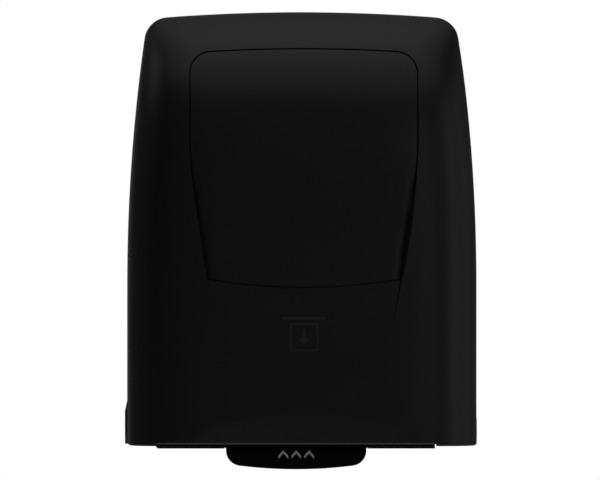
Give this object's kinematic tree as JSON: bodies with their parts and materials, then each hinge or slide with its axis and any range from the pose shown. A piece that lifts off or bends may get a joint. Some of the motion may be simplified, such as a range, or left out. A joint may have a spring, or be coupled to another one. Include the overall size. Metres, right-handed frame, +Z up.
{
  "type": "roll towel dispenser",
  "caption": "Wall-mounted roll towel dispenser with a hinged moulded cover, spring-arm roll holder, drum feed with cutting blade, and a push paddle under the lip.",
  "frame": {"origin": "middle of the wall-screw pattern on the wall face, 245 mm above the cover's lip", "axes": "+Z up, +Y into the wall, the front faces -Y, +X to the right seen from the front"},
  "size_m": [0.3288, 0.2276, 0.4254],
  "materials": {
    "black_abs": "satin moulded black",
    "grey_abs": "satin moulded grey",
    "white_acetal": "smooth moulded off-white",
    "green_acetal": "smooth moulded green",
    "black_rubber": "matt ground rubber",
    "zinc_steel": "bright zinc plate",
    "spring_steel": "drawn spring wire",
    "blade_steel": "ground blade",
    "brass": "turned brass"
  },
  "bodies": {
    "chassis": {"rear_chassis": "black_abs", "lock_keeper": "grey_abs", "hinge_pins": "zinc_steel", "arm_pins": "zinc_steel", "arm_springs": "spring_steel", "side_plate_left": "grey_abs", "side_plate_right": "grey_abs", "chassis_screws": "zinc_steel", "paper_chute": "black_abs", "drum_bearings": "brass", "pinch_bushes": "white_acetal", "paddle_spring": "spring_steel"},
    "cover": {"front_cover": "black_abs", "cover_panel": "black_abs", "lock_barrel": "zinc_steel"},
    "key": {"lock_plug": "brass", "lock_cam": "zinc_steel"},
    "arm_left": {"roll_arm_left": "grey_abs"},
    "arm_right": {"roll_arm_right": "grey_abs"},
    "hub_left": {"roll_hub_left": "white_acetal"},
    "hub_right": {"roll_hub_right": "white_acetal"},
    "drum": {"feed_drum": "white_acetal", "drum_shaft": "zinc_steel", "grip_bands": "black_rubber", "knife_blade": "blade_steel", "feed_knob": "green_acetal"},
    "pinch": {"pinch_shaft": "zinc_steel", "pinch_rollers": "black_rubber"},
    "paddle": {"push_paddle": "black_abs", "paddle_shaft": "zinc_steel", "sector_gear": "grey_abs"},
    "clutch": {"clutch_gear": "green_acetal", "one_way_bearing": "zinc_steel"}
  },
  "joints": [
    {"name": "cover_open", "type": "hinge", "parent": "chassis", "child": "cover", "pos_m": [0, -0.015, -0.232], "axis": [1, 0, 0], "range_deg": [0, 88]},
    {"name": "key_turn", "type": "hinge", "parent": "cover", "child": "key", "pos_m": [0, -0.042, 0.145], "axis": [0, 0, -1], "range_deg": [0, 90]},
    {"name": "arm_left_swing", "type": "hinge", "parent": "chassis", "child": "arm_left", "pos_m": [-0.1079, -0.016, 0.025], "axis": [0, 0, -1], "range_deg": [0, 15], "stiffness_Nm_per_rad": 1, "springref_deg": -5.73},
    {"name": "arm_right_swing", "type": "hinge", "parent": "chassis", "child": "arm_right", "pos_m": [0.1079, -0.016, 0.025], "axis": [0, 0, 1], "range_deg": [0, 15], "stiffness_Nm_per_rad": 1, "springref_deg": -5.73},
    {"name": "hub_left_spin", "type": "hinge", "parent": "arm_left", "child": "hub_left", "pos_m": [-0.1, -0.108, 0.025], "axis": [1, 0, 0], "continuous": true},
    {"name": "hub_right_spin", "type": "hinge", "parent": "arm_right", "child": "hub_right", "pos_m": [0.1, -0.108, 0.025], "axis": [1, 0, 0], "continuous": true},
    {"name": "drum_turn", "type": "hinge", "parent": "chassis", "child": "drum", "pos_m": [-0.007, -0.095, -0.16], "axis": [1, 0, 0], "continuous": true},
    {"name": "pinch_turn", "type": "hinge", "parent": "chassis", "child": "pinch", "pos_m": [-0.007, -0.14924, -0.13471], "axis": [1, 0, 0], "continuous": true},
    {"name": "paddle_push", "type": "hinge", "parent": "chassis", "child": "paddle", "pos_m": [-0.007, -0.18832, -0.19305], "axis": [1, 0, 0], "range_deg": [0, 22], "stiffness_Nm_per_rad": 0.5, "springref_deg": -11.46},
    {"name": "clutch_turn", "type": "hinge", "parent": "chassis", "child": "clutch", "pos_m": [-0.007, -0.095, -0.16], "axis": [1, 0, 0], "range_deg": [-60, 0]}
  ],
  "couplings": [
    {"joint": "pinch_turn", "follows": "drum_turn", "ratio": -4.4129},
    {"joint": "clutch_turn", "follows": "paddle_push", "ratio": -2.6667}
  ]
}
